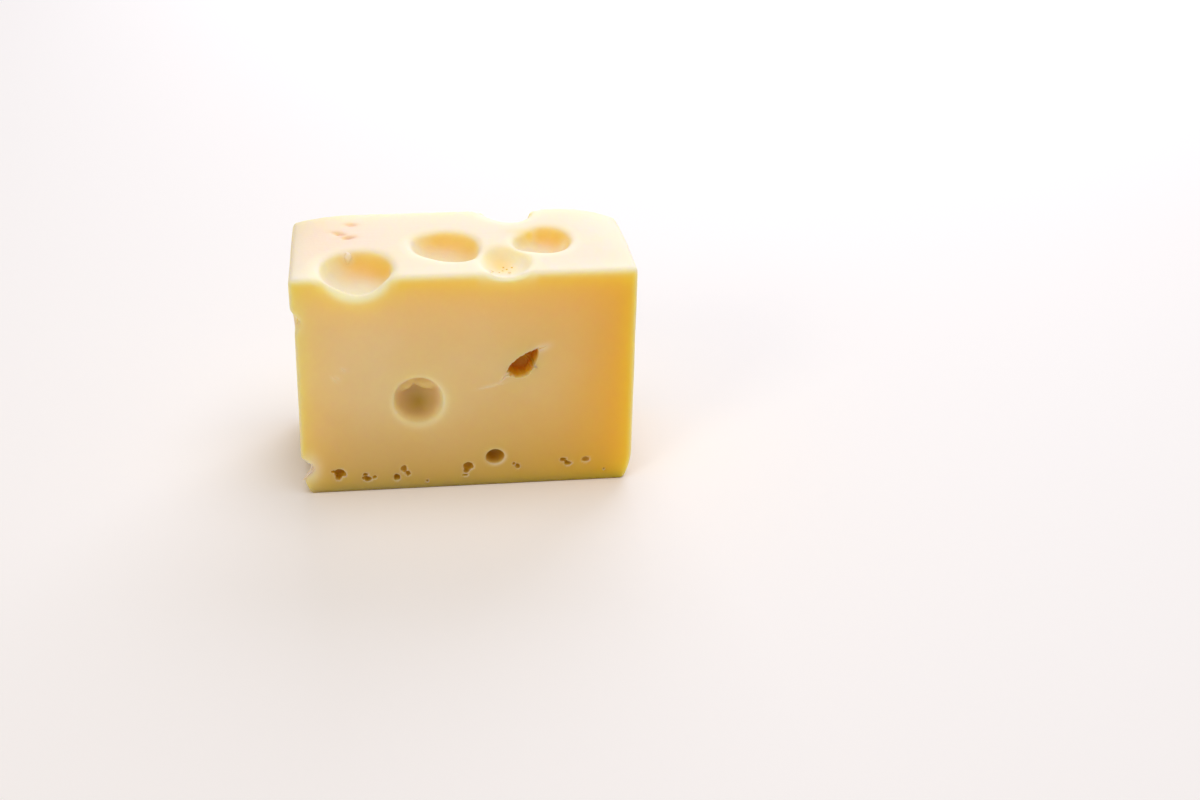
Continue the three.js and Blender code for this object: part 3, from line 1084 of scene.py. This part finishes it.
def new_material(name):
    """An empty node material with its output node."""
    material = bpy.data.materials.new(name)
    material.use_nodes = True
    material.node_tree.nodes.clear()
    return material, material.node_tree, add_node(material.node_tree, "ShaderNodeOutputMaterial")


def per_metre(size):
    """The texture scale that repeats a pattern once in a size."""
    return 1.0 / size


print("a screen value of half gives", round(linear("#808080")[0], 3), "of the light")

# %% [markdown]
# ## The cheese itself
# Semi-hard cheese is a pale, fatty, slightly translucent paste, cut with a wire. Light enters it, scatters
# for millimetres and comes out yellower, so edges in front of a lamp glow gold: that is subsurface
# scattering. The cut is satin, because the wire smears fat over it, and the skin of an eye is smoother and
# shines a little.

# %% Cut cheese paste
PASTE_PALE = linear("#f6e6ba")
PASTE_DEEP = linear("#f0d697")
BLOTCH_SIZE = 30 * MM
GRAIN_SIZE = 1.2 * MM
DRAG_LENGTH = 60 * MM
DRAG_WIDTH = 1.6 * MM
GRAIN_RELIEF = 0.06 * MM
RELIEF_STRENGTH = 0.6
CUT_ROUGHNESS = 0.4
SKIN_ROUGHNESS = 0.3
PASTE_IOR = 1.45
FAT_SHEEN = 0.25
SCATTER_LENGTH = 20.0 * MM
SCATTER_SHARES = (1.0, 0.88, 0.15)
THIN_SCATTER = 0.1

# A Mix node repeats its socket names for each kind of data, so its colour sockets go by number
MIX_SHARE = 0
MIX_FIRST = 6
MIX_SECOND = 7
MIX_RESULT = 2

# What each measured attribute turns the paste towards, in the order of mixing. All but the scuffs paint
# light or shade, and the torn pale paste is partly its own colour and partly painted light.
TINTS = [
    ("painted_foot_shade", "#d6b058"),
    ("painted_right_glow", "#eeb604"),
    ("painted_edge_glow", "#fecd42"),
    ("painted_eye_shade", "#e4bf62"),
    ("painted_rim_highlight", "#fff0c4"),
    ("eye_skin_and_shade", "#ceab3e"),
    ("painted_top_light", "#f5e2cb"),
    ("scuffed", "#f2c488"),
    ("painted_bowl_light", "#fff3d6"),
    ("painted_bowl_shade", "#ffd01c"),
    ("torn_pale_and_painted_light", "#fff0d8"),
    ("painted_pit_shade", "#c69a28"),
    ("painted_slit_shade", "#e4a62e"),
    ("painted_slit_floor_light", "#e8c430"),
]


def cut_cheese_paste():
    """Wire-cut semi-hard cheese: mottled pale yellow, satin, glowing where light comes through, with
    painted light and shade.
    """
    material, tree, output = new_material("cut_cheese_paste")
    place = add_node(tree, "ShaderNodeTexCoord").outputs["Object"]

    blotch = add_node(tree, "ShaderNodeTexNoise", {}, {"Scale": per_metre(BLOTCH_SIZE), "Detail": 3.0},
                      {"Vector": place})
    mottle = add_node(tree, "ShaderNodeMix", {"data_type": "RGBA"},
                      {MIX_FIRST: PASTE_PALE, MIX_SECOND: PASTE_DEEP},
                      {MIX_SHARE: blotch.outputs["Fac"]})
    colour = mottle.outputs[MIX_RESULT]
    for name, tint in TINTS:
        measured = add_node(tree, "ShaderNodeAttribute", {"attribute_name": name})
        tinted = add_node(tree, "ShaderNodeMix", {"data_type": "RGBA"}, {MIX_SECOND: linear(tint)},
                          {MIX_SHARE: measured.outputs["Fac"], MIX_FIRST: colour})
        colour = tinted.outputs[MIX_RESULT]

    # The measure of an eye's skin and painted shade also makes that skin smoother
    skin = add_node(tree, "ShaderNodeAttribute", {"attribute_name": "eye_skin_and_shade"})
    roughness = add_node(tree, "ShaderNodeMapRange", {},
                         {"To Min": CUT_ROUGHNESS, "To Max": SKIN_ROUGHNESS},
                         {"Value": skin.outputs["Fac"]})

    # The wire drags along the block, so its marks are long in x and fine in y and z
    drag_scale = (per_metre(DRAG_LENGTH), per_metre(DRAG_WIDTH), per_metre(DRAG_WIDTH))
    drag_place = add_node(tree, "ShaderNodeMapping", {}, {"Scale": drag_scale}, {"Vector": place})
    drag = add_node(tree, "ShaderNodeTexNoise", {}, {"Scale": 1.0, "Detail": 1.0},
                    {"Vector": drag_place.outputs["Vector"]})
    grain = add_node(tree, "ShaderNodeTexNoise", {}, {"Scale": per_metre(GRAIN_SIZE), "Detail": 2.0},
                     {"Vector": place})
    relief = add_node(tree, "ShaderNodeMath", {"operation": "ADD"}, {},
                      {0: drag.outputs["Fac"], 1: grain.outputs["Fac"]})
    bump = add_node(tree, "ShaderNodeBump", {}, {"Strength": RELIEF_STRENGTH, "Distance": GRAIN_RELIEF},
                    {"Height": relief.outputs["Value"]})

    # Bits thinner than the light's way through them would leak it all, so they scatter at their surface
    thin = add_node(tree, "ShaderNodeAttribute", {"attribute_name": "thin_bit"})
    weight = add_node(tree, "ShaderNodeMapRange", {}, {"To Min": 1.0, "To Max": THIN_SCATTER},
                      {"Value": thin.outputs["Fac"]})

    shader = add_node(tree, "ShaderNodeBsdfPrincipled", {"subsurface_method": "RANDOM_WALK"}, {
        "IOR": PASTE_IOR,
        "Specular IOR Level": FAT_SHEEN,
        "Subsurface Radius": SCATTER_SHARES,
        "Subsurface Scale": SCATTER_LENGTH,
    }, {
        "Base Color": colour,
        "Roughness": roughness.outputs["Result"],
        "Subsurface Weight": weight.outputs["Result"],
        "Normal": bump.outputs["Normal"],
    })
    tree.links.new(shader.outputs["BSDF"], output.inputs["Surface"])
    return material


cheese.data.materials.clear()
cheese.data.materials.append(cut_cheese_paste())
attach(cheese, "root")
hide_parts("cheese_block")
print("cheese dressed with", cheese.data.materials[0].name)

# %% [markdown]
# ## Floor and light
# The floor is plain and pale. A large soft lamp behind the block lets the edges glow, another above it
# lights the bowls, a third fills in from the near left, and the room gives a weak, warm light.

# %% Floor
FLOOR_REACH = 3.0
SHEET_WHITE = linear("#fbfcfd")
SHEET_ROUGHNESS = 0.9


def matte_sheet():
    """A matte, nearly white sheet."""
    material, tree, output = new_material("matte_sheet")
    shader = add_node(tree, "ShaderNodeBsdfPrincipled", {},
                      {"Base Color": SHEET_WHITE, "Roughness": SHEET_ROUGHNESS})
    tree.links.new(shader.outputs["BSDF"], output.inputs["Surface"])
    return material


ground = bmesh.new()
bmesh.ops.create_grid(ground, x_segments=1, y_segments=1, size=FLOOR_REACH)
floor = new_piece("floor", ground)
floor.data.materials.append(matte_sheet())
print("floor", 2 * FLOOR_REACH, "m wide")

# %% Lights
ROOM_LIGHT = linear("#fff0dc")
ROOM_STRENGTH = 0.40

# Name, place and size in metres, power in watts, and colour
LAMPS = [
    ("back_lamp", (0.35, 1.05, 0.62), 1.1, 9.2, "#f0f2ff"),
    ("top_lamp", (0.16, -0.08, 1.18), 0.9, 6.3, "#f4f4ff"),
    ("fill_lamp", (-1.00, -1.10, 0.95), 0.5, 3.8, "#fff0dc"),
]
LAMP_AIM = Vector((0, 0, 0.05))


def soft_lamp(name, place, size, power, colour):
    """A square lamp that faces the block."""
    lamp = bpy.data.objects.new(name, bpy.data.lights.new(name, "AREA"))
    lamp.data.size = size
    lamp.data.energy = power
    lamp.data.color = linear(colour)[:3]
    lamp.location = place
    lamp.rotation_euler = (LAMP_AIM - Vector(place)).to_track_quat("-Z", "Y").to_euler()
    bpy.context.scene.collection.objects.link(lamp)


for lamp in LAMPS:
    soft_lamp(*lamp)
room = bpy.data.worlds.new("room")
room.use_nodes = True
room.node_tree.nodes["Background"].inputs["Color"].default_value = ROOM_LIGHT
room.node_tree.nodes["Background"].inputs["Strength"].default_value = ROOM_STRENGTH
bpy.context.scene.world = room
bpy.context.scene.view_settings.view_transform = "Standard"
print("lamps", [lamp[0] for lamp in LAMPS])
